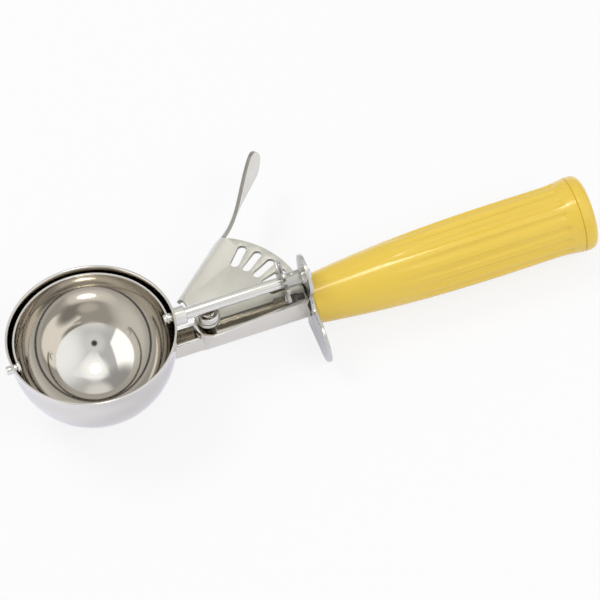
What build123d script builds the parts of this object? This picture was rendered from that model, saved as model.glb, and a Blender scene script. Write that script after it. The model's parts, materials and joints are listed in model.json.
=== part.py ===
from build123d import *
from math import acos, asin, atan2, cos, degrees, hypot, pi, radians, sin, sqrt, tan
import os

# Thumb-press ice cream scoop (disher), in millimetres.
# The origin is the middle of the bowl's sphere, where the scraper shaft's axis crosses the bowl's.
# +X runs along the shaft to the handle, +Z points up out of the bowl, +Y is the side of the thumb lever.

# Bowl
bowl_inner_radius = 26.3
bowl_wall = 0.8
rim_height = 5.2
rim_flare = 0.8
rim_round = 0.25

# Scraper blade and the shaft that turns it
running_clearance = 0.05
shaft_radius = 2.0
shaft_hole_clearance = 0.15
shaft_inner_tail = 1.0
shaft_rear_tail = 1.3
shaft_end_chamfer = 0.33
collar_wall = 1.05
collar_mouth_round = 0.35
collar_length = 4.4
pin_radius = 1.5
pin_stub_length = 2.0
pin_head_radius = 2.3
pin_head_thickness = 0.7
pin_end_chamfer = 0.3
blade_gap = 0.4
blade_thickness = 0.7
blade_width = 6.4
blade_rest_angle = 2.1
clip_radius = 3.6
clip_thickness = 0.5
clip_opening = 2.6

# Pinion on the shaft and the slotted fan of the lever that drives it
pivot_x = 39.0
pinion_distance = 26.0
pinion_teeth = 8
pinion_thickness = 1.2
pinion_root_radius = 4.4
tooth_reach = 1.0
tooth_root_width = 2.4
tooth_tip_width = 1.5
tooth_tip_round = 0.375
hub_radius = 2.5
hub_length = 5.2
cross_pin_radius = 0.5
cross_pin_proud = 0.3
slot_pitch_angle = 10.93
slot_count = 5
slot_width = 3.0
slot_inner_reach = 4.45
slot_outer_reach = 4.55
slot_end_margin = 1.95

# Thumb lever: one stamping of fan plate, turned-down flange and thumb strip
sheet = 1.2
near_edge_depth = 1.8
boss_radius = 3.8
fold_heading = 42.0
fold_offset = 10.72
flange_start = 2.2
flange_bend_radius = 1.0
flange_angle = 60.0
flange_length_at_pivot = 1.5
flange_length_at_strip = 6.0
strip_turn_out = 18.0
strip_turn_out_radius = 38.0
strip_straight = 16.5
strip_turn_back = 20.0
strip_turn_back_radius = 32.0
strip_tip_width = 10.8
strip_tip_lean = -4.0
strip_upright_share = 0.8
strip_stations = 7
strip_steps_per_station = 10

# Pivot of the lever
post_radius = 1.4
post_head_radius = 2.3
post_head_height = 2.7
post_head_round = 0.4
pivot_washer_radius = 2.6
pivot_washer_thickness = 0.4
pivot_bush_radius = 2.2
bush_flange_radius = 3.2
bush_flange_thickness = 0.6
sleeve_wall = 0.7
spring_wire = 0.75
spring_mean_radius = 3.35
spring_full_turns = 2
spring_last_turn = 270.0
spring_pitch = 0.78
spring_gap = 0.25
spring_plate_leg = 4.5
spring_plate_hole_radius = 0.5
spring_hook_proud = 0.6
spring_tang_length = 4.9
spring_slot_clearance = 0.05

# Shank: a pressed channel, narrow at the bowl and wider around the mechanism
handle_drop = 14.1
shank_wall = 0.9
shank_drop = 14.8
shank_radius = 4.66
trough_front_half_width = 6.3
trough_rear_half_width = 4.5
trough_front_top = -8.9
trough_rear_top = -7.5
trough_front_gap = 4.8
neck_radius = 4.0
neck_half_width = 3.6
neck_top = -10.6

# Guard plate in front of the handle
guard_gap = 0.5
guard_thickness = 1.2
guard_lobe_radius = 7.0
guard_lobe_rise = 0.0
guard_waist = 6.0
guard_disc_radius = 8.4
guard_ear_radius = 8.0
guard_ear_reach = 13.5
guard_ear_drop = 3.8
guard_notch_round = 2.0
guard_edge_round = 0.3
rear_bush_wall = 0.6
rear_bush_proud = 0.7

# Handle
grip_length = 92.2
grip_front_radius = 8.1
grip_shoulder_share = 0.197
grip_shoulder_radius = 10.05
grip_body_share = 0.393
grip_body_radius = 11.3
grip_waist_share = 0.87
grip_waist_radius = 11.9
grip_flare_share = 0.945
grip_flare_radius = 12.05
grip_end_radius = 12.7
grip_front_round = 0.8
flute_count = 16
flute_radius = 1.8
flute_depth = 0.45
flute_front_share = 0.3
flute_rear_share = 0.94
seam_chamfer = 0.35
cap_length = 4.7
cap_round = 2.6
cap_plug_clearance = 0.05
cap_plug_length = 3.0
cap_plug_wall = 1.2
tang_radius = 2.5
tang_head_radius = 3.3
tang_head_length = 2.2
tang_bore_clearance = 0.1
nut_radius = 4.6
nut_length = 3.6
nut_washer_radius = 6.0
nut_washer_thickness = 1.0
tang_end_length = 1.4
counterbore_radius = 6.5
counterbore_depth = 8.0

# Modelling allowances: how far a cut runs past a face, and how near an edge must lie to be picked
overrun = 1.0
pick = 0.01

# Worked out from the sizes above
bowl_outer_radius = bowl_inner_radius + bowl_wall
blade_outer_radius = bowl_inner_radius - blade_gap
blade_inner_radius = blade_outer_radius - blade_thickness
collar_radius = shaft_radius + running_clearance + collar_wall
collar_end = bowl_outer_radius + collar_length
pinion_x = pivot_x + pinion_distance
pinion_pitch_radius = pinion_teeth * pinion_distance * radians(slot_pitch_angle) / (2 * pi)
pinion_tip_radius = pinion_pitch_radius + tooth_reach
slot_inner_radius = pinion_distance - slot_inner_reach
slot_outer_radius = pinion_distance + slot_outer_reach
fan_radius = slot_outer_radius + slot_end_margin
fan_top = sheet / 2 - pinion_pitch_radius
fan_bottom = fan_top - sheet
guard_front = pivot_x + fan_radius + guard_gap
guard_back = guard_front + guard_thickness
grip_front = guard_back
grip_end = grip_front + grip_length
cap_end = grip_end + cap_length
nut_seat = grip_end - counterbore_depth
trough_front = pivot_x - trough_front_gap
trough_inner_radius = shank_radius - shank_wall
shank_floor = -shank_drop - shank_radius

shaft_axis_plane = Plane(origin=(0, 0, 0), x_dir=(0, 1, 0), z_dir=(1, 0, 0))


def on_shaft(x):
    """A plane square to the shaft at x: its own x is +Y and its own y is +Z."""
    return shaft_axis_plane.offset(x)


def disc(radius, start, end, centre_z=0.0):
    """A round bar along X from start to end."""
    return Pos(0, 0, centre_z) * extrude(on_shaft(start) * Circle(radius), end - start)


def post(radius, bottom, top):
    """A round bar along Z on the lever's pivot."""
    return Pos(pivot_x, 0, bottom) * extrude(Circle(radius), top - bottom)


def revolved(outline, centre_z=0.0):
    """A closed outline of (x, radius) turned about the X axis, then lowered to centre_z."""
    face = make_face(outline)
    return Pos(0, 0, centre_z) * revolve(face, Axis.X)


# ---------------------------------------------------------------- bowl


def bowl_form(radius):
    """The solid inside one skin of the bowl: a half ball with a flared band up to the rim."""
    diagonal = radius * sqrt(0.5)
    outline = [
        ThreePointArc((0, -radius), (diagonal, -diagonal), (radius, 0)),
        Line((radius, 0), (radius + rim_flare, rim_height)),
        Line((radius + rim_flare, rim_height), (0, rim_height)),
        Line((0, rim_height), (0, -radius)),
    ]
    return revolve(Plane.XZ * make_face(outline), Axis.Z)


def make_bowl():
    shell = bowl_form(bowl_outer_radius) - bowl_form(bowl_inner_radius)
    rim_edges = shell.edges().filter_by_position(Axis.Z, rim_height - pick, rim_height + pick)
    shell = fillet(rim_edges, rim_round)
    front_hole = disc(pin_radius + running_clearance, -2 * bowl_outer_radius, 0)
    rear_hole = disc(shaft_radius + shaft_hole_clearance, 0, 2 * bowl_outer_radius)
    return shell - front_hole - rear_hole


def make_shaft_collar():
    tube = disc(collar_radius, 0, collar_end) - disc(shaft_radius + running_clearance, 0, collar_end)
    tube -= bowl_form(bowl_outer_radius)
    mouth = tube.edges().filter_by_position(Axis.X, collar_end - pick, collar_end + pick)
    return fillet(mouth.sort_by(SortBy.RADIUS)[-1], collar_mouth_round)


# ---------------------------------------------------------------- scraper


def make_scraper_blade():
    shell = Sphere(blade_outer_radius) - Sphere(blade_inner_radius)
    reach = 2 * blade_outer_radius
    band = Pos(0, reach / 2, 0) * Box(2 * reach, reach, blade_width)
    eyes = disc(blade_width / 2, -reach, reach)
    blade = shell & (band + eyes)
    blade -= disc(pin_radius, -reach, 0)
    blade -= disc(shaft_radius, 0, reach)
    return Rot(blade_rest_angle, 0, 0) * blade


def make_front_pivot_pin():
    wall = sqrt(blade_inner_radius ** 2 - pin_head_radius ** 2)
    head = disc(pin_head_radius, -wall, -wall + pin_head_thickness)
    end = -bowl_outer_radius - pin_stub_length
    stem = disc(pin_radius, end, -wall)
    stem = chamfer(stem.edges().filter_by_position(Axis.X, end - pick, end + pick), pin_end_chamfer)
    return head + stem


def make_blade_shaft():
    start = blade_inner_radius - shaft_inner_tail
    end = guard_back + shaft_rear_tail
    rod = disc(shaft_radius, start, end)
    rod = chamfer(rod.edges().filter_by(GeomType.CIRCLE), shaft_end_chamfer)
    return rod - cross_pin(cross_pin_radius)


def make_pinion():
    wheel = disc(pinion_root_radius, -pinion_thickness / 2, pinion_thickness / 2)
    root = pinion_root_radius / 2
    outline = Polyline(
        (-tooth_root_width / 2, root),
        (-tooth_root_width / 2, pinion_root_radius),
        (-tooth_tip_width / 2, pinion_tip_radius),
        (tooth_tip_width / 2, pinion_tip_radius),
        (tooth_root_width / 2, pinion_root_radius),
        (tooth_root_width / 2, root),
        close=True,
    )
    tooth = extrude(on_shaft(-pinion_thickness / 2) * make_face(outline), pinion_thickness)
    tip = tooth.edges().filter_by(Axis.X).sort_by(Axis.Z)[-2:]
    tooth = fillet(tip, tooth_tip_round)
    for index in range(pinion_teeth):
        angle = 180 + (index + 0.5) * 360 / pinion_teeth
        wheel += Rot(angle, 0, 0) * tooth
    wheel += disc(hub_radius, 0, pinion_thickness / 2 + hub_length)
    wheel -= disc(shaft_radius, -pinion_thickness, 2 * hub_length)
    return Pos(pinion_x, 0, 0) * wheel - cross_pin(cross_pin_radius)


def cross_pin(radius):
    """A bar through the hub and the shaft, at the middle of the hub's own length."""
    half = hub_radius + cross_pin_proud
    centre = pinion_x + (pinion_thickness + hub_length) / 2
    return Pos(centre, 0, -half) * extrude(Circle(radius), 2 * half)


def make_shaft_clip():
    start = guard_back + running_clearance
    ring = disc(clip_radius, start, start + clip_thickness) - disc(shaft_radius, 0, 2 * start)
    opening = Pos(start, 0, clip_radius) * Box(4 * clip_thickness, clip_opening, 2 * clip_radius)
    return ring - opening


# ---------------------------------------------------------------- thumb lever


def fold_point(along, outward=0.0):
    """A plan point on the flange's fold line; outward is away from the pivot."""
    heading = radians(fold_heading)
    out = fold_offset + outward
    return (
        pivot_x + along * cos(heading) - out * sin(heading),
        along * sin(heading) + out * cos(heading),
    )


def fan_point(radius, angle):
    return (pivot_x + radius * cos(radians(angle)), radius * sin(radians(angle)))


def fold_end():
    """Distance along the fold line at which it meets the fan's round edge."""
    return sqrt(fan_radius ** 2 - fold_offset ** 2)


def make_fan_plate():
    """The flat of the lever: a sector with a near edge beside the shaft, cut by slots and by half a slot."""
    corner = fold_point(fold_end())
    corner_angle = degrees(atan2(corner[1], corner[0] - pivot_x))
    near_end_angle = -degrees(asin(near_edge_depth / fan_radius))
    near_end = fan_point(fan_radius, near_end_angle)
    middle = fan_point(fan_radius, (corner_angle + near_end_angle) / 2)
    outline = [
        Line(fold_point(flange_start), (pivot_x - boss_radius, 0)),
        Line((pivot_x - boss_radius, 0), (pivot_x, -near_edge_depth)),
        Line((pivot_x, -near_edge_depth), near_end),
        ThreePointArc(near_end, middle, corner),
        Line(corner, fold_point(flange_start)),
    ]
    plate = make_face(outline) + Pos(pivot_x, 0) * Circle(boss_radius)
    for index in range(-1, slot_count):
        angle = (index + 0.5) * slot_pitch_angle
        length = slot_outer_radius - slot_inner_radius
        centre = fan_point((slot_outer_radius + slot_inner_radius) / 2, angle)
        plate -= Pos(*centre) * Rot(0, 0, angle) * SlotOverall(length, slot_width)
    return Pos(0, 0, fan_bottom) * extrude(plate, sheet)


def flange_section(along, leg):
    """The turned-down flange's section, square to the fold line: a bend, then a slanted leg."""
    angle = radians(flange_angle)
    outer = flange_bend_radius + sheet
    inner = flange_bend_radius

    def on_bend(radius, turn):
        return (radius * sin(turn), radius * cos(turn) - outer)

    def down_leg(point):
        return (point[0] + leg * cos(angle), point[1] - leg * sin(angle))

    outer_end = on_bend(outer, angle)
    inner_end = on_bend(inner, angle)
    outline = [
        ThreePointArc((0, 0), on_bend(outer, angle / 2), outer_end),
        Line(outer_end, down_leg(outer_end)),
        Line(down_leg(outer_end), down_leg(inner_end)),
        Line(down_leg(inner_end), inner_end),
        ThreePointArc(inner_end, on_bend(inner, angle / 2), (0, -sheet)),
        Line((0, -sheet), (0, 0)),
    ]
    heading = radians(fold_heading)
    x, y = fold_point(along)
    section = Plane(
        origin=(x, y, fan_top),
        x_dir=(-sin(heading), cos(heading), 0),
        z_dir=(cos(heading), sin(heading), 0),
    )
    return section * make_face(outline)


def make_flange():
    return loft([
        flange_section(flange_start, flange_length_at_pivot),
        flange_section(fold_end(), flange_length_at_strip),
    ], ruled=True)


def strip_stations_along():
    """Plan point and heading of each station along the strip's top edge."""
    corner = fold_point(fold_end())
    arc_out = radians(strip_turn_out) * strip_turn_out_radius
    arc_back = radians(strip_turn_back) * strip_turn_back_radius
    total = arc_out + strip_straight + arc_back
    stations = []
    x, y = corner
    heading = radians(fold_heading)
    steps = (strip_stations - 1) * strip_steps_per_station
    spacing = total / steps
    for step in range(steps + 1):
        along = step * spacing
        if step % strip_steps_per_station == 0:
            stations.append((x, y, heading, along / total))
        if along < arc_out:
            turn = spacing / strip_turn_out_radius
        elif along < arc_out + strip_straight:
            turn = 0.0
        else:
            turn = -spacing / strip_turn_back_radius
        x += spacing * cos(heading + turn / 2)
        y += spacing * sin(heading + turn / 2)
        heading += turn
    return stations


def strip_root():
    """Where the flange's outer face would reach the top of the plate, and its length from there."""
    angle = radians(flange_angle)
    bend = (flange_bend_radius + sheet) * tan(angle / 2)
    return bend - sheet / sin(angle), bend + flange_length_at_strip


def strip_section(x, y, heading, share):
    """A slat across the strip, in line with the flange at the fan and nearly upright at its tip."""
    ease = share * share * (3 - 2 * share)
    offset, root_width = strip_root()
    width = root_width + (strip_tip_width - root_width) * ease
    root_lean = 90 - flange_angle
    lean = radians(root_lean + (strip_tip_lean - root_lean) * min(1.0, share / strip_upright_share))
    section = Plane(
        origin=(x - offset * sin(heading), y + offset * cos(heading), fan_top),
        x_dir=(-sin(heading) * cos(lean), cos(heading) * cos(lean), sin(lean)),
        z_dir=(cos(heading), sin(heading), 0),
    )
    slat = Pos(sheet / 2, -width / 2) * Rectangle(sheet, width)
    return section * slat


def make_strip():
    stations = strip_stations_along()
    strip = loft([strip_section(*station) for station in stations])
    x, y, heading, _ = stations[-1]
    end = Plane(
        origin=(x, y, fan_top - strip_tip_width / 2),
        x_dir=(cos(heading), sin(heading), 0),
        z_dir=(sin(heading), -cos(heading), 0),
    )
    radius = strip_tip_width / 2
    corners = Pos(-radius / 2 + sheet / 2, 0) * Rectangle(radius + sheet, 3 * radius)
    corners -= Pos(-radius, 0) * Circle(radius)
    return strip - extrude(end * corners, 4 * radius, both=True)


def make_thumb_lever():
    lever = make_fan_plate() + make_flange() + make_strip()
    lever -= post(pivot_bush_radius, fan_bottom - overrun, fan_top + overrun)
    spring_hole = Pos(*spring_plate_hole(), fan_bottom - overrun) * Circle(spring_plate_hole_radius)
    return lever - extrude(spring_hole, sheet + 2 * overrun)


def make_pivot_bush():
    bore = post(post_radius + running_clearance, fan_bottom - bush_flange_thickness - overrun, fan_top + overrun)
    flange = post(bush_flange_radius, fan_bottom - bush_flange_thickness, fan_bottom)
    return post(pivot_bush_radius, fan_bottom - bush_flange_thickness, fan_top) + flange - bore


# ---------------------------------------------------------------- pivot post and spring


def pivot_washer_bottom():
    return fan_top + running_clearance


def make_pivot_washer():
    bottom = pivot_washer_bottom()
    hole = post(post_radius, bottom - overrun, bottom + pivot_washer_thickness + overrun)
    return post(pivot_washer_radius, bottom, bottom + pivot_washer_thickness) - hole


def make_lever_post():
    """A riveted stem with a tall head, slotted for the spring's upper end."""
    head_bottom = pivot_washer_bottom() + pivot_washer_thickness
    head_top = head_bottom + post_head_height
    stem = post(post_radius, shank_floor, head_bottom)
    head = post(post_head_radius, head_bottom, head_top)
    top_edge = head.edges().filter_by(GeomType.CIRCLE).sort_by(Axis.Z)[-1]
    head = fillet(top_edge, post_head_round)
    slot_floor = spring_base() + spring_rise() - spring_wire / 2 - spring_slot_clearance
    slot_height = head_top + overrun - slot_floor
    slot_width_across = spring_wire + 2 * spring_slot_clearance
    slot = Box(slot_width_across, 4 * post_head_radius, slot_height)
    return stem + head - Pos(pivot_x, 0, slot_floor + slot_height / 2) * slot


def sleeve_top():
    return fan_bottom - bush_flange_thickness - running_clearance


def sleeve_bottom():
    """Height at which the sleeve's edge meets the round floor of the channel."""
    reach = post_radius + sleeve_wall
    return -shank_drop - sqrt(trough_inner_radius ** 2 - reach ** 2)


def make_post_sleeve():
    tube = post(post_radius + sleeve_wall, sleeve_bottom(), sleeve_top())
    return tube - post(post_radius, sleeve_bottom() - overrun, sleeve_top() + overrun)


def spring_base():
    """Height of the wire's middle where the coil starts over the plate."""
    return fan_top + spring_gap + spring_wire / 2


def spring_rise():
    return (spring_full_turns + spring_last_turn / 360) * spring_pitch


def spring_plate_hole():
    """Plan point at which the spring's lower leg passes down through the fan plate."""
    return (pivot_x - spring_mean_radius, spring_plate_leg)


def wire_run(start, direction, length):
    """A straight run of the spring's wire with a round end."""
    bar = extrude(Plane(origin=start, z_dir=direction) * Circle(spring_wire / 2), length)
    return bar + Pos(*(start + direction * length)) * Sphere(spring_wire / 2)


def make_lever_spring():
    """A torsion spring round the post's head: its foot hooks into the plate, its tang lies in the head's slot."""
    helix = Helix(pitch=spring_pitch, height=spring_rise(), radius=spring_mean_radius)
    wire = Plane(origin=helix @ 0, z_dir=helix % 0) * Circle(spring_wire / 2)
    spring = sweep(wire, path=helix)
    foot = helix @ 0 - (helix % 0) * spring_plate_leg
    foot_drop = foot.Z + spring_base() - fan_bottom + spring_hook_proud
    spring += wire_run(helix @ 0, -(helix % 0), spring_plate_leg)
    spring += wire_run(foot, Vector(0, 0, -1), foot_drop)
    coil_end = helix @ 1
    inward = Vector(-coil_end.X, -coil_end.Y, 0).normalized()
    spring += Pos(*coil_end) * Sphere(spring_wire / 2) + wire_run(coil_end, inward, spring_tang_length)
    return Pos(pivot_x, 0, spring_base()) * Rot(0, 0, 180) * spring


# ---------------------------------------------------------------- shank


def channel_section(x, half_width, top, radius, rise=0.0):
    """A face square to X: a round floor with side walls that meet it smoothly."""
    height = top + shank_drop
    reach = hypot(half_width, height)
    touch = atan2(height, half_width) - acos(radius / reach)
    side = (radius * cos(touch), -shank_drop + radius * sin(touch))
    lean = (half_width - side[0]) / (top - side[1])
    corner = (half_width + lean * rise, top + rise)
    left = (-side[0], side[1])
    outline = [
        Line(corner, side),
        ThreePointArc(side, (0, -shank_drop - radius), left),
        Line(left, (-corner[0], corner[1])),
        Line((-corner[0], corner[1]), corner),
    ]
    return on_shaft(x) * make_face(outline)


def trough_plan(half_width, end):
    """The trough's outline seen from above: straight sides and a round front end."""
    centre = trough_front + trough_front_half_width
    length = end - centre
    shape = Pos(centre, 0) * Circle(half_width)
    shape += Pos(centre + length / 2, 0) * Rectangle(length, 2 * half_width)
    return Pos(0, 0, -2 * shank_drop) * extrude(shape, 3 * shank_drop)


def make_shank_channel():
    wall = shank_wall
    front_half = trough_front_half_width
    rear_half = trough_rear_half_width
    outer = loft([
        channel_section(trough_front, front_half, trough_front_top, shank_radius),
        channel_section(guard_front, rear_half, trough_rear_top, shank_radius),
    ])
    inner = loft([
        channel_section(trough_front, front_half - wall, trough_front_top, trough_inner_radius, wall),
        channel_section(guard_front, rear_half - wall, trough_rear_top, trough_inner_radius, wall),
    ])
    outer &= trough_plan(trough_front_half_width, guard_front)
    inner &= trough_plan(trough_front_half_width - wall, guard_front - wall)

    neck_start = bowl_outer_radius / 2
    neck_end = trough_front + trough_front_half_width
    floor_shift = Pos(0, 0, neck_radius - shank_radius)
    neck_section = channel_section(neck_start, neck_half_width, neck_top, neck_radius)
    neck = extrude(neck_section, neck_end - neck_start)
    groove_section = channel_section(neck_start, neck_half_width - wall, neck_top, neck_radius - wall, wall)
    groove = extrude(groove_section, trough_front - neck_start)
    neck = floor_shift * (neck - groove)
    neck -= bowl_form(bowl_outer_radius)

    shank = outer + neck - inner
    shank -= disc(tang_radius, guard_front - 2 * wall, guard_front + wall, -handle_drop)
    return shank - post(post_radius, shank_floor - overrun, shank_floor + 2 * wall)


# ---------------------------------------------------------------- guard


def make_guard_plate():
    plate = Pos(0, guard_lobe_rise) * Circle(guard_lobe_radius)
    plate += Pos(0, -handle_drop) * Circle(guard_disc_radius)
    height = guard_lobe_rise + handle_drop
    width = guard_lobe_radius + guard_waist
    middle = (guard_lobe_radius - guard_waist) / 2
    plate += Pos(middle, guard_lobe_rise - height / 2) * Rectangle(width, height)
    ear_z = -handle_drop - guard_ear_drop
    plate += Pos(-guard_ear_reach, ear_z) * Circle(guard_ear_radius)
    plate += Pos(-guard_ear_reach / 2, ear_z) * Rectangle(guard_ear_reach, 2 * guard_ear_radius)
    solid = extrude(on_shaft(guard_front) * plate, guard_thickness)
    notch_edges = solid.edges().filter_by(Axis.X)
    notch = notch_edges.sort_by_distance((guard_front, -guard_waist, ear_z + guard_ear_radius))[0]
    solid = fillet(notch, guard_notch_round)
    front = solid.faces().filter_by(Axis.X).sort_by(Axis.X)[0]
    solid = fillet(front.edges(), guard_edge_round)
    solid -= disc(shaft_radius + running_clearance + rear_bush_wall, guard_front - overrun, guard_back + overrun)
    return solid - disc(tang_radius, guard_front - overrun, guard_back + overrun, -handle_drop)


def make_rear_bush():
    bore = shaft_radius + running_clearance
    start = guard_front - rear_bush_proud
    bush = disc(bore + rear_bush_wall, start, guard_back)
    return bush - disc(bore, start - overrun, guard_back + overrun)


# ---------------------------------------------------------------- handle


def grip_outline(length_share):
    return grip_front + grip_length * length_share


def make_handle_grip():
    side = Spline(
        (grip_front, grip_front_radius),
        (grip_outline(grip_shoulder_share), grip_shoulder_radius),
        (grip_outline(grip_body_share), grip_body_radius),
        (grip_outline(grip_waist_share), grip_waist_radius),
        (grip_outline(grip_flare_share), grip_flare_radius),
        (grip_end, grip_end_radius),
    )
    outline = [
        side,
        Line((grip_end, grip_end_radius), (grip_end, 0)),
        Line((grip_end, 0), (grip_front, 0)),
        Line((grip_front, 0), (grip_front, grip_front_radius)),
    ]
    grip = revolved(outline, -handle_drop)
    rings = grip.edges().filter_by(GeomType.CIRCLE).sort_by(Axis.X)
    grip = fillet(rings[0], grip_front_round)
    rings = grip.edges().filter_by(GeomType.CIRCLE).sort_by(Axis.X)
    grip = chamfer(rings[-1], seam_chamfer)
    for index in range(flute_count):
        grip -= Pos(0, 0, -handle_drop) * Rot((index + 0.5) * 360 / flute_count, 0, 0) * flute_cutter()
    grip -= disc(tang_radius + tang_bore_clearance, grip_front - overrun, grip_end, -handle_drop)
    return grip - disc(counterbore_radius, nut_seat, grip_end + overrun, -handle_drop)


def flute_cutter():
    """A round-ended bar that lies along the grip and cuts flute_depth into its sides."""
    front = grip_outline(flute_front_share)
    rear = grip_outline(flute_rear_share)
    front_height = grip_body_radius + flute_radius - flute_depth
    rear_height = grip_waist_radius + flute_radius - flute_depth
    start = Vector(front, 0, front_height)
    end = Vector(rear, 0, rear_height)
    bar = extrude(Plane(origin=start, z_dir=end - start) * Circle(flute_radius), (end - start).length)
    return bar + Pos(*start) * Sphere(flute_radius) + Pos(*end) * Sphere(flute_radius)


def make_handle_end_cap():
    cap = disc(grip_end_radius, grip_end, cap_end, -handle_drop)
    rings = cap.edges().filter_by(GeomType.CIRCLE).sort_by(Axis.X)
    cap = fillet(rings[-1], cap_round)
    rings = cap.edges().filter_by(GeomType.CIRCLE).sort_by(Axis.X)
    cap = chamfer(rings[0], seam_chamfer)
    plug_radius = counterbore_radius - cap_plug_clearance
    plug_start = grip_end - cap_plug_length
    plug = disc(plug_radius, plug_start, grip_end, -handle_drop)
    return cap + plug - disc(plug_radius - cap_plug_wall, plug_start - overrun, grip_end, -handle_drop)


def make_tang_bolt():
    head_back = guard_front - shank_wall
    end = nut_seat + nut_washer_thickness + nut_length + tang_end_length
    head = disc(tang_head_radius, head_back - tang_head_length, head_back, -handle_drop)
    return head + disc(tang_radius, head_back, end, -handle_drop)


def make_tang_washer():
    ring = disc(nut_washer_radius, nut_seat, nut_seat + nut_washer_thickness, -handle_drop)
    return ring - disc(tang_radius, nut_seat - overrun, nut_seat + nut_washer_thickness + overrun, -handle_drop)


def make_tang_nut():
    start = nut_seat + nut_washer_thickness
    hexagon = on_shaft(start) * RegularPolygon(nut_radius, 6)
    nut = Pos(0, 0, -handle_drop) * extrude(hexagon, nut_length)
    return nut - disc(tang_radius, start - overrun, start + nut_length + overrun, -handle_drop)


PIECES = {
    "bowl": make_bowl,
    "shaft_collar": make_shaft_collar,
    "shank_channel": make_shank_channel,
    "guard_plate": make_guard_plate,
    "rear_bush": make_rear_bush,
    "lever_post": make_lever_post,
    "pivot_washer": make_pivot_washer,
    "post_sleeve": make_post_sleeve,
    "lever_spring": make_lever_spring,
    "handle_grip": make_handle_grip,
    "handle_end_cap": make_handle_end_cap,
    "tang_bolt": make_tang_bolt,
    "tang_washer": make_tang_washer,
    "tang_nut": make_tang_nut,
    "thumb_lever": make_thumb_lever,
    "pivot_bush": make_pivot_bush,
    "blade_shaft": make_blade_shaft,
    "scraper_blade": make_scraper_blade,
    "front_pivot_pin": make_front_pivot_pin,
    "pinion": make_pinion,
    "pinion_pin": lambda: cross_pin(cross_pin_radius),
    "shaft_clip": make_shaft_clip,
}

os.makedirs("parts", exist_ok=True)
for name, make in PIECES.items():
    export_step(make(), f"parts/{name}.step")
    print(name, "written")
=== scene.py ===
import json
from math import asin, atan2, cos, hypot, pi, radians, sin, sqrt

import bmesh
import bpy
import numpy as np
from mathutils import Matrix, Vector
from mathutils.bvhtree import BVHTree


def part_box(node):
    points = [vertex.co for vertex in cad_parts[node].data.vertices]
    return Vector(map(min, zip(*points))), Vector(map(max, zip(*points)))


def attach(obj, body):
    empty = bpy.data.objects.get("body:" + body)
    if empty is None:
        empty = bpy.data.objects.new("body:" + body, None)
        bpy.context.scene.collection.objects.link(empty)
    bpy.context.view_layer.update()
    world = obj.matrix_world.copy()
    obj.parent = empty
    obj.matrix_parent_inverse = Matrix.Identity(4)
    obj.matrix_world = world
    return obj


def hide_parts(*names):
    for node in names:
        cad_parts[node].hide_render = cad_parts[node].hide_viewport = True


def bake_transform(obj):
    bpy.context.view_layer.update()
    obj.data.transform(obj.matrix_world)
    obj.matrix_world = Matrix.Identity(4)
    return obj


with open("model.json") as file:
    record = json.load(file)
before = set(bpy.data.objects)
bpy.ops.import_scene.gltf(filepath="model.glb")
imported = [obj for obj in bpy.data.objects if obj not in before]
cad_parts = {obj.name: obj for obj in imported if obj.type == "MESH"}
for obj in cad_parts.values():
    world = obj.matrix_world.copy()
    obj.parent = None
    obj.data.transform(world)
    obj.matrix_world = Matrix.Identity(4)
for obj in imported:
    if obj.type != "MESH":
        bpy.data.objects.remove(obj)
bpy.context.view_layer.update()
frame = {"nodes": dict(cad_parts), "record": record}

# ------------------------------------------------------------------ sizes, in millimetres and degrees

MM = 0.001


def box_mm(node_name):
    """A CAD node's lowest and highest corners."""
    low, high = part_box(node_name)
    return low / MM, high / MM


# Read from the frame
bowl_low, bowl_high = box_mm("bowl")
_, band_high = box_mm("scraper_blade")
shaft_low, shaft_high = box_mm("blade_shaft")
_, collar_high = box_mm("shaft_collar")
pin_low, pin_high = box_mm("front_pivot_pin")
post_low, post_high = box_mm("lever_post")
washer_low, washer_high = box_mm("pivot_washer")
_, shank_high = box_mm("shank_channel")
grip_low, grip_high = box_mm("handle_grip")
cap_low, cap_high = box_mm("handle_end_cap")

running_clearance = 0.05

# Bowl
bowl_radius = -bowl_low.z
bowl_wall = 0.8
bowl_inner_radius = bowl_radius - bowl_wall
rim_height = bowl_high.z
rim_flare = bowl_high.x - bowl_radius
rim_flare_power = 1.6
lip_round = 0.3

# Scraper band
blade_thickness = 0.7
blade_outer_radius = band_high.x
blade_half_width = 3.2
blade_rest_angle = 2.1
blade_edge_angle = 50
blade_edge_round = 0.16

# Shaft, collar and front pin
shaft_radius = shaft_high.z
shaft_end_round = 0.5
collar_radius = collar_high.z
collar_sink = 0.25
collar_seat = bowl_radius - collar_sink
collar_end_round = 0.5
collar_bore_round = 0.2
pin_radius = 1.5
pin_end_round = 0.3
pin_head_radius = pin_high.z
pin_head_thickness = 0.7
pin_head_back_round = 0.1
pin_head_front_round = 0.4

# Post, washer and spring
pivot_x = (post_low.x + post_high.x) / 2
post_radius = 1.4
washer_round = 0.1
wire_radius = 0.375
spring_radius = 3.35
spring_turns = 2.75
spring_pitch = 0.78
spring_plate_leg = 4.5
spring_hook_drop = 2.26
spring_tang_end = -1.6
spring_bend = 0.6
coil_gap = 0.25
coil_base = washer_low.z - running_clearance + coil_gap + wire_radius
coil_steps_per_turn = 48

# Stamped and pressed sheet, and the roundings of cut edges
lever_sheet = 1.2
shank_wall = 0.9
cut_edge_angle = 35
lever_round = 0.14
stamped_round = 0.25
pressed_round = 0.38
small_part_round = 0.12

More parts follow.
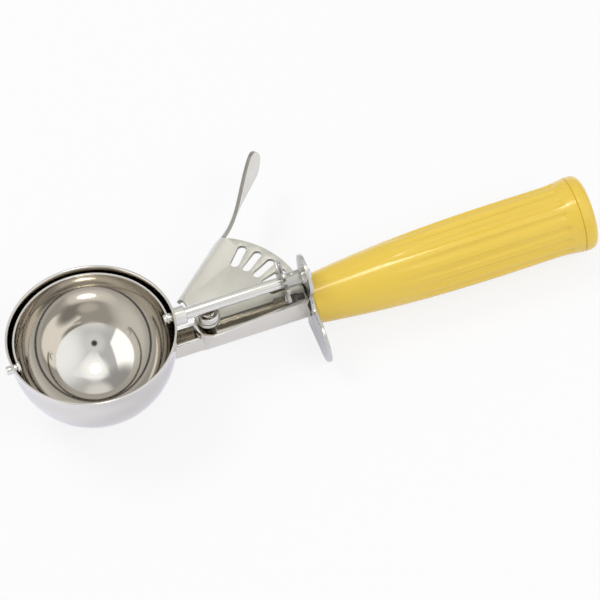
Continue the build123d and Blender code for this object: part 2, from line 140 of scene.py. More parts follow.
# Grip and cap
handle_z = (grip_low.z + grip_high.z) / 2
grip_start = grip_low.x
grip_end = grip_high.x
grip_length = grip_end - grip_start
grip_front_radius = 8.1
grip_body_radius = 11.3
grip_waist_radius = 11.9
grip_end_radius = 12.7
grip_shares = (0.0, 0.197, 0.393, 0.87, 0.945, 1.0)
grip_radii = (grip_front_radius, 10.05, grip_body_radius, grip_waist_radius, 12.05, grip_end_radius)
grip_front_round = 0.8
grip_rows = 150
seam_chamfer = 0.35
seam_round = 0.1
flute_count = 16
flute_radius = 1.8
flute_depth = 0.45
flute_front_share = 0.3
flute_rear_share = 0.94
flute_runout_share = 0.05
flute_softness = 0.28
cap_end = cap_high.x
cap_radius = cap_high.y
cap_round = 2.6

# Mesh clean-up: distances within which points merge, and the angle up to which faces count as flat
turned_merge = 0.0005
copy_merge = 0.002
blade_merge = 0.01
flat_angle = 0.6

# Finding the cut faces of sheet: where a ray starts, and how many thicknesses it may run inside
ray_offset = 0.01
cut_depth_factor = 1.6

# Places of the second and third material on a piece: the second paints shade on the lever's cut faces and a
# highlight on the shank's, the third paints a line of shadow at the shank's end
CUT_FACE_PAINTED_INDEX = 1
GAP_SHADOW_INDEX = 2

# Floor and light
floor_z = min(bowl_low.z, cap_low.z)
floor_half_width = 3000
floor_paper = (0.86, 0.86, 0.88, 1)
floor_whiteness = 0.82
floor_mirrored = (1.07, 1.10, 1.22, 1)
floor_glow = 0.25
white = (1, 1, 1, 1)
world_color = (0.62, 0.62, 0.64, 1)
light_aim = (0.07, 0, 0)

# Camera, in metres
image_pixels = 600
sensor_width = 0.036
pixels_per_metre = 3112
camera_distance = 1.5
camera_target = Vector((0.0670, -0.0118, 0.0039))
camera_right = Vector((0.9407, -0.3326, -0.0672))
camera_up = Vector((0.3051, 0.7422, 0.5966))


# ------------------------------------------------------------------ materials


def node(tree, kind, inputs=None, **settings):
    """A node of that kind, with its settings made and its inputs given as values or sockets."""
    made = tree.nodes.new(kind)
    for name, value in settings.items():
        setattr(made, name, value)
    for name, value in (inputs or {}).items():
        socket = made.inputs[name]
        if isinstance(value, bpy.types.NodeSocket):
            tree.links.new(value, socket)
        else:
            socket.default_value = value
    return made


def feed(tree, target, sockets):
    """Links each socket to the target's input of that name."""
    for name, socket in sockets.items():
        tree.links.new(socket, target.inputs[name])


def noise(tree, place, scale, detail, roughness):
    """The value of a noise texture, from 0 to 1."""
    inputs = {"Vector": place, "Scale": scale, "Detail": detail, "Roughness": roughness}
    return node(tree, "ShaderNodeTexNoise", inputs).outputs["Fac"]


def reckon(tree, operation, *values, clamp=False):
    """The result of some arithmetic on values or sockets."""
    inputs = dict(enumerate(values))
    return node(tree, "ShaderNodeMath", inputs, operation=operation, use_clamp=clamp).outputs[0]


def laid_over(tree, behind, share, color):
    """What is behind, with a colour laid over it as strongly as the share says."""
    inputs = {"Factor": share, "A": behind, "B": color}
    return node(tree, "ShaderNodeMix", inputs, data_type="RGBA").outputs["Result"]


def new_group(name, inputs, outputs):
    """An empty shader node group with named float, colour or vector sockets."""
    kinds = {"float": "NodeSocketFloat", "color": "NodeSocketColor", "vector": "NodeSocketVector"}
    tree = bpy.data.node_groups.new(name, "ShaderNodeTree")
    for label, (kind, value) in inputs.items():
        socket = tree.interface.new_socket(label, in_out="INPUT", socket_type=kinds[kind])
        socket.default_value = value
    for label, kind in outputs.items():
        tree.interface.new_socket(label, in_out="OUTPUT", socket_type=kinds[kind])
    return tree, tree.nodes.new("NodeGroupInput"), tree.nodes.new("NodeGroupOutput")


def new_material(name):
    """A new material and its node tree, which holds a Principled shader."""
    material = bpy.data.materials.new(name)
    material.use_nodes = True
    return material, material.node_tree


def rubbed_metal_group():
    """Fine rubbing marks and faint cloudy tarnish of used stainless steel."""
    tree, given, out = new_group(
        "rubbed_metal",
        {
            "Color": ("color", (0.7, 0.7, 0.7, 1)),
            "Stretch": ("vector", (1, 1, 1)),
            "Roughness": ("float", 0.2),
            "Streaks": ("float", 0.05),
            "Tarnish": ("float", 0.1),
            "Height": ("float", 0.02),
        },
        {"Color": "color", "Roughness": "float", "Height": "float"},
    )
    wanted = given.outputs
    place = node(tree, "ShaderNodeTexCoord").outputs["Object"]
    stretched = node(tree, "ShaderNodeVectorMath", {0: place, 1: wanted["Stretch"]}, operation="MULTIPLY")
    streaks = noise(tree, stretched.outputs[0], scale=900.0, detail=4.0, roughness=0.6)
    clouds = noise(tree, place, scale=60.0, detail=5.0, roughness=0.65)
    swing = reckon(tree, "SUBTRACT", streaks, 0.5)
    streaked = reckon(tree, "MULTIPLY_ADD", swing, wanted["Streaks"], wanted["Roughness"])
    cloud_range = {"Value": clouds, "From Min": 0.45, "From Max": 0.75, "To Min": 0.0, "To Max": 1.0}
    cloudy = node(tree, "ShaderNodeMapRange", cloud_range).outputs[0]
    tarnish = reckon(tree, "MULTIPLY", cloudy, wanted["Tarnish"])
    feed(tree, out, {
        "Color": laid_over(tree, wanted["Color"], tarnish, (0.42, 0.38, 0.31, 1)),
        "Roughness": reckon(tree, "MULTIPLY_ADD", tarnish, 0.25, streaked, clamp=True),
        "Height": reckon(tree, "MULTIPLY", streaks, wanted["Height"]),
    })
    return tree


def metal(name, color, roughness, stretch=(1, 1, 1), streaks=0.05, tarnish=0.1, height=0.02):
    """A bare metal with rubbing marks; a stretch under 1 draws them out along that axis."""
    material, tree = new_material(name)
    inputs = {"Color": (*color, 1), "Stretch": stretch, "Roughness": roughness, "Streaks": streaks,
              "Tarnish": tarnish, "Height": height}
    rubbed = node(tree, "ShaderNodeGroup", inputs, node_tree=rubbed_metal).outputs
    bump = node(tree, "ShaderNodeBump", {"Height": rubbed["Height"], "Strength": 1.0, "Distance": 0.02 * MM})
    shader = tree.nodes["Principled BSDF"]
    shader.inputs["Metallic"].default_value = 1.0
    feed(tree, shader, {"Base Color": rubbed["Color"], "Roughness": rubbed["Roughness"],
                        "Normal": bump.outputs["Normal"]})
    return material


def moulded_plastic():
    """Glossy yellow moulding with faint flow clouds and a fine grain."""
    material, tree = new_material("moulded_yellow")
    place = node(tree, "ShaderNodeTexCoord").outputs["Object"]
    clouds = noise(tree, place, scale=45.0, detail=4.0, roughness=0.6)
    grain = noise(tree, place, scale=700.0, detail=3.0, roughness=0.6)
    grain_range = {"Value": grain, "From Min": 0.3, "From Max": 0.8, "To Min": 0.11, "To Max": 0.18}
    bump = node(tree, "ShaderNodeBump", {"Height": grain, "Strength": 0.3, "Distance": 0.003 * MM})
    shader = tree.nodes["Principled BSDF"]
    shader.inputs["IOR"].default_value = 1.5
    feed(tree, shader, {
        "Base Color": laid_over(tree, (0.80, 0.55, 0.060, 1), clouds, (0.84, 0.595, 0.070, 1)),
        "Roughness": node(tree, "ShaderNodeMapRange", grain_range).outputs[0],
        "Normal": bump.outputs["Normal"],
    })
    return material


rubbed_metal = rubbed_metal_group()
metals = {
    "polished_steel": {"color": (0.63, 0.592, 0.535), "roughness": 0.07, "tarnish": 0.08, "streaks": 0.02,
                       "height": 0.0},
    "satin_steel": {"color": (0.56, 0.54, 0.50), "roughness": 0.21, "tarnish": 0.2, "streaks": 0.1},
    "pressed_sheet": {"color": (0.70, 0.66, 0.575), "roughness": 0.24, "tarnish": 0.2, "streaks": 0.1},
    # Near-white steel for the shank's cut lips: a painted highlight.
    "painted_lip_highlight": {"color": (1.0, 0.98, 0.93), "roughness": 0.24, "tarnish": 0.05, "streaks": 0.05},
    "tumbled_sheet": {"color": (0.70, 0.67, 0.585), "roughness": 0.46, "tarnish": 0.2, "streaks": 0.1},
    # Rough, dark steel for the lever's cut faces: the roughness is the sheared edge's own, the dark colour is
    # painted shade on the slot walls.
    "rough_edge_painted_shade": {"color": (0.34, 0.32, 0.28), "roughness": 0.42, "tarnish": 0.3, "streaks": 0.1},
    # Near-black steel for the shank's end against the guard: a painted shadow of the gap there.
    "painted_gap_shadow": {"color": (0.09, 0.085, 0.08), "roughness": 0.5, "tarnish": 0.3, "streaks": 0.1},
    "toothed_steel": {"color": (0.44, 0.42, 0.38), "roughness": 0.25, "tarnish": 0.2, "streaks": 0.1},
    "bright_steel": {"color": (0.67, 0.64, 0.58), "roughness": 0.12, "tarnish": 0.1, "streaks": 0.12,
                     "stretch": (0.05, 1, 1)},
    "spring_steel": {"color": (0.62, 0.60, 0.56), "roughness": 0.16},
    "zinc_steel": {"color": (0.60, 0.60, 0.62), "roughness": 0.35},
    "brass": {"color": (0.72, 0.55, 0.28), "roughness": 0.25},
}
materials = {name: metal(name, **look) for name, look in metals.items()}
materials["yellow_plastic"] = moulded_plastic()

record = frame["record"]
slot_of_node = {row["node"]: row["material_slot"] for row in record["subparts"]}
body_of_node = {name: body for body, names in record["behaviour"]["bodies"].items() for name in names}
for name, obj in frame["nodes"].items():
    obj.data.materials.clear()
    obj.data.materials.append(materials[slot_of_node[name]])


# ------------------------------------------------------------------ making pieces


def made_object(name, bm):
    """An object in the scene from a bmesh in millimetres, which it uses up."""
    bmesh.ops.scale(bm, vec=(MM, MM, MM), verts=bm.verts)
    mesh = bpy.data.meshes.new(name)
    bm.to_mesh(mesh)
    bm.free()
    obj = bpy.data.objects.new(name, mesh)
    bpy.context.scene.collection.objects.link(obj)
    return obj


def piece(name, bm, node_name, smooth=40, finishes=None):
    """A piece that stands for a CAD node, shaded smooth up to an angle, with one or more named finishes."""
    obj = made_object(name, bm)
    mesh = obj.data
    mesh.polygons.foreach_set("use_smooth", [True] * len(mesh.polygons))
    mesh.set_sharp_from_angle(angle=radians(smooth))
    for finish in finishes or (slot_of_node[node_name],):
        mesh.materials.append(materials[finish])
    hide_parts(node_name)
    return obj


def arc(centre, radius, start, end, count):
    """Outline points (along, radius from the axis, rounding) on a circular arc; angles from the axis."""
    turns = [radians(start + (end - start) * step / count) for step in range(count + 1)]
    return [(centre + radius * cos(turn), radius * sin(turn), 0) for turn in turns]


def turned(outline, axis="X", steps=96):
    """A solid spun from an outline of (along, radius, rounding); it closes on itself off the axis."""
    bm = bmesh.new()
    if axis == "X":
        corners = [bm.verts.new((along, 0, radius)) for along, radius, _ in outline]
        axis_line = (1, 0, 0)
    else:
        corners = [bm.verts.new((radius, 0, along)) for along, radius, _ in outline]
        axis_line = (0, 0, 1)
    for first, second in zip(corners, corners[1:]):
        bm.edges.new((first, second))
    if outline[0][1] > 0:
        bm.edges.new((corners[-1], corners[0]))
    for corner, (_, _, rounding) in zip(corners, outline):
        if rounding:
            bmesh.ops.bevel(bm, geom=[corner], offset=rounding, offset_type="OFFSET", affect="VERTICES",
                            segments=4, profile=0.5, material=-1)
    bmesh.ops.spin(bm, geom=bm.verts[:] + bm.edges[:], cent=(0, 0, 0), axis=axis_line, dvec=(0, 0, 0),
                   angle=2 * pi, steps=steps, use_merge=True)
    bmesh.ops.remove_doubles(bm, verts=bm.verts, dist=turned_merge)
    bmesh.ops.recalc_face_normals(bm, faces=bm.faces)
    return bm


def moved(bm, x=0.0, z=0.0):
    bmesh.ops.translate(bm, vec=(x, 0, z), verts=bm.verts)
    return bm


def round_edges(bm, least_angle, rounding, segments):
    """Rounds the edges at which a solid turns by more than the least angle."""
    sharp = [edge for edge in bm.edges if edge.is_manifold and edge.calc_face_angle(0) > radians(least_angle)]
    bmesh.ops.bevel(bm, geom=sharp, offset=rounding, offset_type="OFFSET", affect="EDGES", segments=segments,
                    profile=0.5, material=-1, clamp_overlap=True)


def sheet_copy(node_name, rounding, segments=3):
    """A copy of a CAD node in millimetres, its doubles merged, flats joined and cut edges rounded."""
    bm = bmesh.new()
    bm.from_mesh(frame["nodes"][node_name].data)
    bmesh.ops.scale(bm, vec=(1 / MM, 1 / MM, 1 / MM), verts=bm.verts)
    bmesh.ops.remove_doubles(bm, verts=bm.verts, dist=copy_merge)
    bmesh.ops.dissolve_limit(bm, angle_limit=radians(flat_angle), use_dissolve_boundaries=False,
                             verts=bm.verts, edges=bm.edges, delimit=set())
    round_edges(bm, cut_edge_angle, rounding, segments)
    return bm


def mark_cut_faces(bm, thickness):
    """Gives the faces along a sheet's rim and holes, which have more metal behind them, the piece's second
    material: painted shade on the lever, a painted highlight on the shank.
    """
    bmesh.ops.triangulate(bm, faces=bm.faces)
    tree = BVHTree.FromBMesh(bm)
    for face in bm.faces:
        inward = -face.normal
        depth = tree.ray_cast(face.calc_center_median() + inward * ray_offset, inward)[3]
        if depth is None or depth > cut_depth_factor * thickness:
            face.material_index = CUT_FACE_PAINTED_INDEX
    return bm


# ------------------------------------------------------------------ bowl, scraper and shaft


def bowl_skin(radius):
    """One skin of the bowl from its bottom up: a half ball, then a flared band to the rounded lip."""
    band_steps = 10
    shares = [step / band_steps for step in range(1, band_steps + 1)]
    band = [(rim_height * share, radius + rim_flare * share ** rim_flare_power, 0) for share in shares]
    band[-1] = (*band[-1][:2], lip_round)
    return arc(0, radius, 180, 90, 64) + band


def make_bowl():
    outline = bowl_skin(bowl_radius) + bowl_skin(bowl_inner_radius)[::-1]
    return piece("bowl_shell", turned(outline, axis="Z", steps=192), "bowl")


def band_section(bm):
    """The scraper band's cross-section as a face, curved with the bowl."""
    section_steps = 8
    skins = []
    for radius in (blade_outer_radius, blade_outer_radius - blade_thickness):
        tilt = asin(blade_half_width / radius)
        turns = [tilt * (2 * step / section_steps - 1) for step in range(section_steps + 1)]
        skins.append([bm.verts.new((radius * cos(turn), 0, radius * sin(turn))) for turn in turns])
    return bm.faces.new(skins[0] + skins[1][::-1])


def make_scraper_band():
    """A band bent round the inside of the bowl, each end rounded off a little past the shaft's axis."""
    end_angle = blade_half_width / blade_outer_radius
    bm = bmesh.new()
    section = band_section(bm)
    bmesh.ops.rotate(bm, cent=(0, 0, 0), matrix=Matrix.Rotation(-end_angle, 3, "Z"), verts=bm.verts)
    last = [section, *section.edges, *section.verts]
    for angle, steps in ((end_angle, 10), (pi, 120), (end_angle, 10)):
        last = bmesh.ops.spin(bm, geom=last, cent=(0, 0, 0), axis=(0, 0, 1), dvec=(0, 0, 0), angle=angle,
                              steps=steps)["geom_last"]
    for vert in bm.verts:
        radius = vert.co.length
        beyond = max(0.0, -vert.co.y / radius)
        share = min(1.0, asin(beyond) / end_angle)
        vert.co.z *= sqrt(1 - share * share)
        vert.co *= radius / vert.co.length
    bmesh.ops.remove_doubles(bm, verts=bm.verts, dist=blade_merge)
    bmesh.ops.recalc_face_normals(bm, faces=bm.faces)
    round_edges(bm, blade_edge_angle, blade_edge_round, segments=2)
    tilt = Matrix.Rotation(radians(blade_rest_angle), 3, "X")
    bmesh.ops.rotate(bm, cent=(0, 0, 0), matrix=tilt, verts=bm.verts)
    return piece("scraper_band", bm, "scraper_blade")


def make_blade_shaft():
    outline = [
        (shaft_low.x, 0, 0),
        (shaft_low.x, shaft_radius, shaft_end_round),
        (shaft_high.x, shaft_radius, shaft_end_round),
        (shaft_high.x, 0, 0),
    ]
    return piece("drive_shaft", turned(outline), "blade_shaft")


def make_shaft_collar():
    """A turned ring against the bowl, rounded at its free end."""
    bore = shaft_radius + running_clearance
    outline = [
        (collar_seat, bore, 0),
        (collar_seat, collar_radius, 0),
        (collar_high.x, collar_radius, collar_end_round),
        (collar_high.x, bore, collar_bore_round),
    ]
    return piece("collar_ring", turned(outline), "shaft_collar")


def make_front_pin():
    head_back = pin_high.x - pin_head_thickness
    outline = [
        (pin_low.x, 0, 0),
        (pin_low.x, pin_radius, pin_end_round),
        (head_back, pin_radius, 0),
        (head_back, pin_head_radius, pin_head_back_round),
        (pin_high.x, pin_head_radius, pin_head_front_round),
        (pin_high.x, 0, 0),
    ]
    return piece("front_pin", turned(outline, steps=64), "front_pivot_pin")


# ------------------------------------------------------------------ lever, post, spring and pinion


def make_thumb_lever():
    # The lever's cut faces get painted shade.
    bm = mark_cut_faces(sheet_copy("thumb_lever", lever_round, segments=2), lever_sheet)
    return piece("thumb_lever_stamping", bm, "thumb_lever", smooth=32, finishes=("tumbled_sheet", "rough_edge_painted_shade"))


def make_lever_post():
    """The rivet that the lever turns on, its tall head slotted for the spring's tang."""
    return piece("rivet_post", sheet_copy("lever_post", small_part_round), "lever_post", smooth=32)


def make_pivot_washer():
    outer = washer_high.x - pivot_x
    outline = [
        (washer_low.z, post_radius, 0),
        (washer_low.z, outer, washer_round),
        (washer_high.z, outer, washer_round),
        (washer_high.z, post_radius, 0),
    ]
    return piece("rivet_washer", moved(turned(outline, axis="Z", steps=64), x=pivot_x), "pivot_washer")


def make_pinion():
    bm = sheet_copy("pinion", small_part_round)
    return piece("toothed_wheel", bm, "pinion", smooth=35, finishes=("toothed_steel",))


def edges_in(parts):
    return [part for part in parts if isinstance(part, bmesh.types.BMEdge)]


def points_of(loop):
    return list({vert for edge in loop for vert in edge.verts})


def middle_of(loop):
    ring = points_of(loop)
    return sum((vert.co for vert in ring), Vector()) / len(ring)


def pulled(bm, loop, way):
    """Extrudes an open loop of edges along a way and gives the new loop."""
    grown = bmesh.ops.extrude_edge_only(bm, edges=loop)["geom"]
    points = [part for part in grown if isinstance(part, bmesh.types.BMVert)]
    bmesh.ops.translate(bm, vec=way, verts=points)
    return [edge for edge in edges_in(grown) if edge.is_boundary]


def bent(bm, loop, centre, axis, angle, steps):
    """Swings an open loop round an axis and gives the new loop."""
    spun = bmesh.ops.spin(bm, geom=loop + points_of(loop), cent=centre, axis=axis, dvec=(0, 0, 0),
                          angle=angle, steps=steps)
    return edges_in(spun["geom_last"])


def round_end(bm, loop, way):
    """Closes an open wire end with a small dome."""
    steps = 4
    direction = Vector(way).normalized()
    for step in range(1, steps):
        turn, before = pi / 2 * step / steps, pi / 2 * (step - 1) / steps
        loop = pulled(bm, loop, direction * wire_radius * (sin(turn) - sin(before)))
        middle = middle_of(loop)
        ratio = cos(turn) / cos(before)
        for vert in points_of(loop):
            vert.co = middle + (vert.co - middle) * ratio
    bmesh.ops.holes_fill(bm, edges=loop, sides=0)


def wind_coil(bm, early):
    """Winds the coil about Z, stopping early by an angle, and gives the loops at its two open ends."""
    ring = bmesh.ops.create_circle(bm, cap_ends=False, segments=16, radius=wire_radius)["verts"]
    bmesh.ops.rotate(bm, cent=(0, 0, 0), matrix=Matrix.Rotation(pi / 2, 3, "X"), verts=ring)
    bmesh.ops.translate(bm, vec=(-spring_radius, 0, 0), verts=ring)
    start = bm.edges[:]
    steps = int(coil_steps_per_turn * spring_turns)
    rise = spring_turns * spring_pitch
    spun = bmesh.ops.spin(bm, geom=ring + start, cent=(0, 0, 0), axis=(0, 0, 1), dvec=(0, 0, rise / steps),
                          angle=2 * pi * spring_turns - early, steps=steps)
    return start, edges_in(spun["geom_last"])


def add_foot(bm, loop):
    """Leads the coil's lower end out over the plate and down through its hole."""
    climb = spring_pitch / (2 * pi * spring_radius)
    down = Vector((0, 0, -1))
    foot = pulled(bm, loop, Vector((0, 1, -climb)) * (spring_plate_leg - spring_bend))
    foot = bent(bm, foot, middle_of(foot) + down * spring_bend, (-1, 0, 0), pi / 2, 8)
    round_end(bm, pulled(bm, foot, down * (spring_hook_drop - spring_bend)), down)


def add_tang(bm, loop, early):
    """Turns the coil's upper end in across the post's head."""
    inward = -middle_of(loop).xy.normalized().to_3d() * spring_bend
    tang = bent(bm, loop, middle_of(loop) + inward, (0, 0, 1), pi / 2 + early, 10)
    along = Vector((0, -1, 0))
    round_end(bm, pulled(bm, tang, along * (middle_of(tang).y - spring_tang_end)), along)


def make_lever_spring():
    """A coil round the post's head: its foot hooks through the plate, its tang lies in the head's slot."""
    early = asin(spring_bend / (spring_radius - spring_bend))
    bm = bmesh.new()
    lower, upper = wind_coil(bm, early)
    add_foot(bm, lower)
    add_tang(bm, upper, early)
    bmesh.ops.recalc_face_normals(bm, faces=bm.faces)
    obj = piece("return_spring", moved(bm, x=pivot_x, z=coil_base), "lever_spring")
    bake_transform(obj)
    return obj


# ------------------------------------------------------------------ shank, guard and handle


def make_shank():
    """The pressed channel, its cut lips painted near-white as a highlight and its end against the guard
    painted with a dark line of shadow.
    """
    bm = mark_cut_faces(sheet_copy("shank_channel", pressed_round), shank_wall)
    # The faces at the channel's end against the guard get the painted shadow line.
    for face in bm.faces:
        if face.calc_center_median().x > shank_high.x - pressed_round:
            face.material_index = GAP_SHADOW_INDEX
    # The second finish paints a highlight on the lips, the third a line of shadow at the end against the
    # guard.
    finishes = ("pressed_sheet", "painted_lip_highlight", "painted_gap_shadow")
    return piece("pressed_shank", bm, "shank_channel", smooth=32, finishes=finishes)


def make_guard():
    return piece("guard_stamping", sheet_copy("guard_plate", stamped_round), "guard_plate", smooth=32)


def even_curve(places, values):
    """The natural cubic curve through a few points, as a function."""
    count = len(places)
    gaps = [places[i + 1] - places[i] for i in range(count - 1)]
    rates = [(values[i + 1] - values[i]) / gaps[i] for i in range(count - 1)]
    matrix = np.eye(count)
    sides = np.zeros(count)
    for i in range(1, count - 1):
        matrix[i, i - 1:i + 2] = (gaps[i - 1], 2 * (gaps[i - 1] + gaps[i]), gaps[i])
        sides[i] = 6 * (rates[i] - rates[i - 1])
    bends = np.linalg.solve(matrix, sides)

    def value(place):
        i = max(k for k in range(count - 1) if k == 0 or places[k] <= place)
        gap, before, after = gaps[i], places[i + 1] - place, place - places[i]
        curved = (bends[i] * before ** 3 + bends[i + 1] * after ** 3) / (6 * gap)
        lower = (values[i] / gap - bends[i] * gap / 6) * before
        upper = (values[i + 1] / gap - bends[i + 1] * gap / 6) * after
        return curved + lower + upper

    return value


grip_radius_at = even_curve(grip_shares, grip_radii)


def soft_minimum(first, second, softness):
    """The smaller of two lengths, with a rounded change from one to the other."""
    share = min(1.0, max(0.0, 0.5 + (second - first) / (2 * softness)))
    return second * (1 - share) + first * share - softness * share * (1 - share)


def flute_floor(share, turn):
    """Radius of the nearest flute's rounded floor at that share of the grip and turn about its axis."""
    pitch = 2 * pi / flute_count
    off = turn % pitch - pitch / 2
    nearest = min(max(share, flute_front_share), flute_rear_share)
    slope = (grip_waist_radius - grip_body_radius) / (flute_rear_share - flute_front_share)
    centre = grip_body_radius + flute_radius - flute_depth + slope * (nearest - flute_front_share)
    past_end = (share - nearest) * grip_length
    reach = flute_radius ** 2 - past_end ** 2 - (centre * sin(off)) ** 2
    if reach <= 0:
        return grip_end_radius + flute_radius
    return centre * cos(off) - sqrt(reach)


def cut_flutes(bm):
    """Presses the flutes into the side of the turned grip."""
    first = flute_front_share - flute_runout_share
    last = flute_rear_share + flute_runout_share
    for vert in bm.verts:
        share = (vert.co.x - grip_start) / grip_length
        radius = hypot(vert.co.y, vert.co.z)
        if radius > grip_front_radius / 2 and first < share < last:
            floor = flute_floor(share, atan2(vert.co.y, vert.co.z))
            ratio = min(1.0, soft_minimum(radius, floor, flute_softness) / radius)
            vert.co.y *= ratio
            vert.co.z *= ratio


def make_grip():
    """A turned body with round-bottomed flutes that run out towards the cone in front."""
    outline = [(grip_start, 0, 0), (grip_start, grip_front_radius, grip_front_round)]
    for row in range(2, grip_rows):
        share = row / grip_rows
        outline.append((grip_start + grip_length * share, grip_radius_at(share), 0))
    chamfer_share = 1 - seam_chamfer / grip_length
    outline += [
        (grip_start + grip_length * chamfer_share, grip_radius_at(chamfer_share), seam_round),
        (grip_end, grip_end_radius - seam_chamfer, 0),
        (grip_end, 0, 0),
    ]
    bm = turned(outline, steps=360)
    cut_flutes(bm)
    return piece("fluted_grip", moved(bm, z=handle_z), "handle_grip", smooth=60)


def make_end_cap():
    outline = [
        (grip_end, 0, 0),
        (grip_end, cap_radius - seam_chamfer, 0),
        (grip_end + seam_chamfer, cap_radius, seam_round),
        (cap_end, cap_radius, cap_round),
        (cap_end, 0, 0),
    ]
    bm = moved(turned(outline, steps=128), z=handle_z)
    return piece("moulded_end_cap", bm, "handle_end_cap", smooth=60)


# ------------------------------------------------------------------ studio


# Cards in the tent that bare metal mirrors: the way they lie (right, up and towards the camera),
# their half width and soft edge in degrees, and their colour
tent_color = (0.70, 0.725, 0.76, 1)
tent_cards = (
    ((0.80, 0.20, 0.55), 34, 24, (1.30, 1.36, 1.42)),
    ((0.00, -0.85, 0.50), 30, 22, (1.12, 1.17, 1.22)),
    ((-0.55, 0.75, 0.36), 20, 10, (0.44, 0.45, 0.46)),
    ((0.05, 0.98, 0.10), 22, 10, (0.72, 0.73, 0.74)),
    ((-0.11, 0.955, 0.28), 12, 8, (1.02, 1.04, 1.05)),
    ((-0.40, -0.55, 0.73), 12, 4, (0.66, 0.67, 0.68)),
    ((-0.02, 0.61, 0.79), 13, 9, (1.50, 1.55, 1.60)),
    ((-0.04, 0.59, 0.80), 5, 2, (11.0, 11.0, 11.0)),
    ((0.00, 0.00, 1.00), 12, 8, (0.95, 0.98, 1.02)),
    ((0.00, 0.00, 1.00), 4.2, 1, (0.05, 0.05, 0.07)),
)

# Panels with straight edges, laid over the first card: the inward directions of their sides, and
# their colour; panel_edge is how far an edge fades, as a share of a unit vector
panel_edge = 0.012
tent_panels = (
    (
        ((-0.631, 0.473, -0.041), (0.725, 0.426, -0.037), (0.000, -0.620, 0.785)),
        (1.22, 1.27, 1.33),
    ),
    (
        ((-0.826, 0.451, -0.339), (-0.841, -0.410, -0.354), (0.000, 0.200, 0.980), (-0.300, 0.000, 0.950)),
        (1.75, 1.80, 1.86),
    ),
)


def tent_way(right, up, toward):
    """A direction of the tent as a unit vector in the frame."""
    back = camera_right.cross(camera_up)
    return (camera_right * right + camera_up * up + back * toward).normalized()


def near_share(tree, looking, way, low, high):
    """How far a view lies towards a way of the tent: 0 below the low cosine, 1 above the high one."""
    cosine = node(tree, "ShaderNodeVectorMath", {0: looking, 1: tent_way(*way)}, operation="DOT_PRODUCT")
    inputs = {"Value": cosine.outputs["Value"], "From Min": low, "From Max": high}
    return node(tree, "ShaderNodeMapRange", inputs, interpolation_type="SMOOTHSTEP").outputs[0]


def card(tree, behind, looking, way, half_width, edge, color):
    """Lays a round card with a soft edge over what is behind it."""
    outside = cos(radians(half_width + edge))
    inside = cos(radians(half_width - edge))
    share = near_share(tree, looking, way, outside, inside)
    return laid_over(tree, behind, share, (*color, 1))


def panel(tree, behind, looking, sides, color):
    """Lays a panel with straight edges over what is behind it."""
    share = 1.0
    for side in sides:
        share = reckon(tree, "MULTIPLY", near_share(tree, looking, side, -panel_edge, panel_edge), share)
    return laid_over(tree, behind, share, (*color, 1))


def mixed(tree, share, first, second):
    """A mix of two shaders, by a share that is a value or a socket."""
    return node(tree, "ShaderNodeMixShader", {0: share, 1: first, 2: second}).outputs[0]


def seen_by(tree, rays, others, chosen):
    """One shader for the named kind of rays and another for all others."""
    return mixed(tree, node(tree, "ShaderNodeLightPath").outputs[rays], others, chosen)


def shining(tree, kind, color):
    """An emission or background shader of plain strength."""
    return node(tree, kind, {"Color": color, "Strength": 1.0}).outputs[0]


def studio_floor():
    """Paper that is nearly white to the camera, and cool and bright to the metal that mirrors it."""
    bm = bmesh.new()
    bmesh.ops.create_grid(bm, x_segments=2, y_segments=2, size=floor_half_width)
    floor = made_object("studio_floor", moved(bm, z=floor_z))
    material, tree = new_material("floor_paper")
    tree.nodes.clear()
    paper = node(tree, "ShaderNodeBsdfDiffuse", {"Color": floor_paper}).outputs[0]
    shade = node(tree, "ShaderNodeBsdfDiffuse", {"Color": floor_mirrored}).outputs[0]
    lit = mixed(tree, floor_whiteness, paper, shining(tree, "ShaderNodeEmission", white))
    shiny = mixed(tree, floor_glow, shade, shining(tree, "ShaderNodeEmission", floor_mirrored))
    surface = seen_by(tree, "Is Glossy Ray", seen_by(tree, "Is Camera Ray", paper, lit), shiny)
    feed(tree, node(tree, "ShaderNodeOutputMaterial"), {"Surface": surface})
    floor.data.materials.append(material)


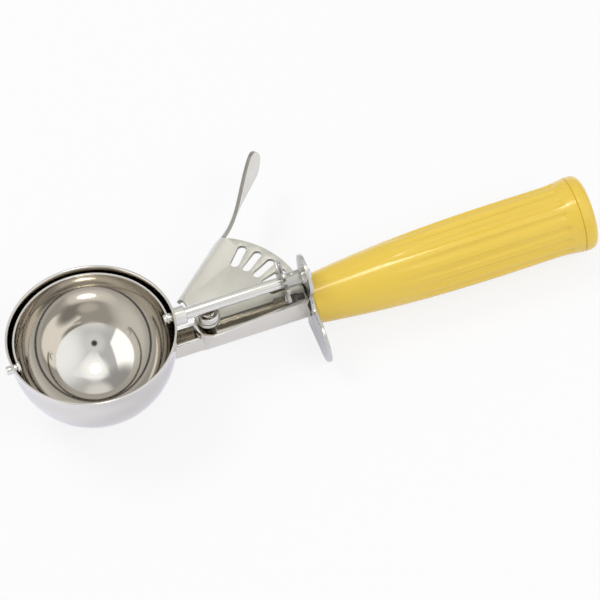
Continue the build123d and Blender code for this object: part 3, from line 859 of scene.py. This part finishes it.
def studio_world():
    """White to the camera, an even light on the object, and a tent with light and dark cards to mirror."""
    world = bpy.data.worlds.new("tent")
    bpy.context.scene.world = world
    world.use_nodes = True
    tree = world.node_tree
    tree.nodes.clear()
    looking = node(tree, "ShaderNodeTexCoord").outputs["Generated"]
    tent = card(tree, tent_color, looking, *tent_cards[0])
    for sides, color in tent_panels:
        tent = panel(tree, tent, looking, sides, color)
    for way, half_width, edge, color in tent_cards[1:]:
        tent = card(tree, tent, looking, way, half_width, edge, color)
    plain = shining(tree, "ShaderNodeBackground", world_color)
    mirrored = shining(tree, "ShaderNodeBackground", tent)
    blank = shining(tree, "ShaderNodeBackground", white)
    surface = seen_by(tree, "Is Camera Ray", seen_by(tree, "Is Glossy Ray", plain, mirrored), blank)
    feed(tree, node(tree, "ShaderNodeOutputWorld"), {"Surface": surface})


def area_light(name, place, width, height, watts):
    """A rectangular light aimed at the object, which metal doesn't mirror; all in metres."""
    light = bpy.data.lights.new(name, "AREA")
    light.shape = "RECTANGLE"
    light.size = width
    light.size_y = height
    light.energy = watts
    obj = bpy.data.objects.new(name, light)
    obj.location = place
    obj.rotation_euler = (Vector(light_aim) - Vector(place)).to_track_quat("-Z", "Y").to_euler()
    obj.visible_glossy = False
    bpy.context.scene.collection.objects.link(obj)


def camera():
    right = camera_right.normalized()
    up = (camera_up - right * camera_up.dot(right)).normalized()
    back = right.cross(up)
    data = bpy.data.cameras.new("camera")
    data.sensor_width = sensor_width / MM
    data.lens = pixels_per_metre * camera_distance * data.sensor_width / image_pixels
    data.clip_start = 0.01
    data.clip_end = 50
    obj = bpy.data.objects.new("camera", data)
    turn = Matrix((right, up, back)).transposed().to_4x4()
    obj.matrix_world = Matrix.Translation(camera_target + back * camera_distance) @ turn
    bpy.context.scene.collection.objects.link(obj)
    bpy.context.scene.camera = obj


makers = {
    "bowl": make_bowl,
    "scraper_blade": make_scraper_band,
    "blade_shaft": make_blade_shaft,
    "shaft_collar": make_shaft_collar,
    "front_pivot_pin": make_front_pin,
    "thumb_lever": make_thumb_lever,
    "lever_post": make_lever_post,
    "pivot_washer": make_pivot_washer,
    "pinion": make_pinion,
    "shank_channel": make_shank,
    "guard_plate": make_guard,
    "handle_grip": make_grip,
    "handle_end_cap": make_end_cap,
}
for node_name, make in makers.items():
    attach(make(), body_of_node[node_name])
make_lever_spring()

studio_floor()
studio_world()
area_light("key", (-0.35, 0.45, 0.9), width=0.5, height=0.4, watts=3.3)
area_light("fill", (0.5, -0.6, 0.8), width=0.6, height=0.6, watts=3.4)
camera()
bpy.context.scene.view_settings.view_transform = "Standard"
